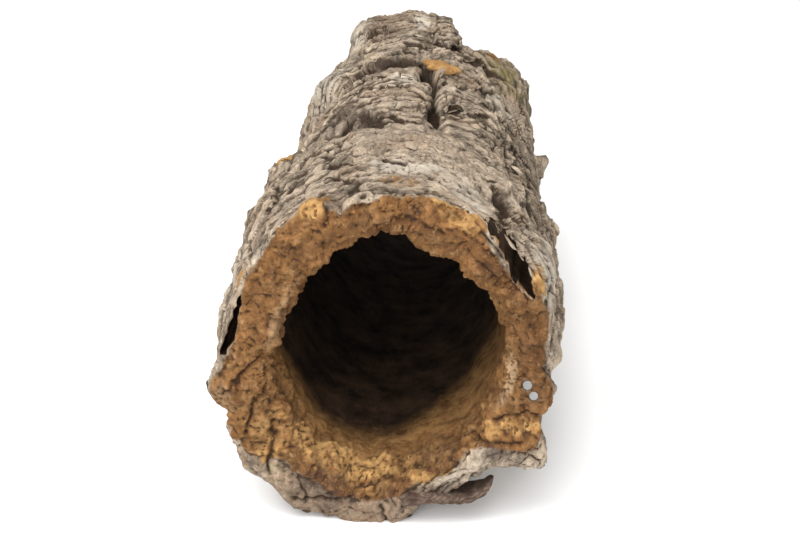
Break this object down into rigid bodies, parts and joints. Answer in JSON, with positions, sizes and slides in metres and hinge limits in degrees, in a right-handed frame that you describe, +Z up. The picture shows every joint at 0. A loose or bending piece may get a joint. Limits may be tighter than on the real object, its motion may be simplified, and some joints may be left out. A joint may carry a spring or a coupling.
{
  "type": "cork bark tube",
  "caption": "Rough open tube of natural cork bark lying on its side, with a thick torn rim, ledged grey bark and a hollow that runs right through.",
  "frame": {"origin": "on the ground under the middle of the tube's box", "axes": "+Z up, the tube's length along Y with the mouth that the picture shows at -Y, +X to the right of someone who looks into that mouth"},
  "size_m": [0.1583, 0.3957, 0.1598],
  "materials": {
    "bark": "weathered grey-brown cork bark, matt, with tan to orange bare cork on the torn rims and dark brown in the bore"
  },
  "bodies": {
    "root": {"cork_bark_tube": "bark"}
  },
  "joints": []
}
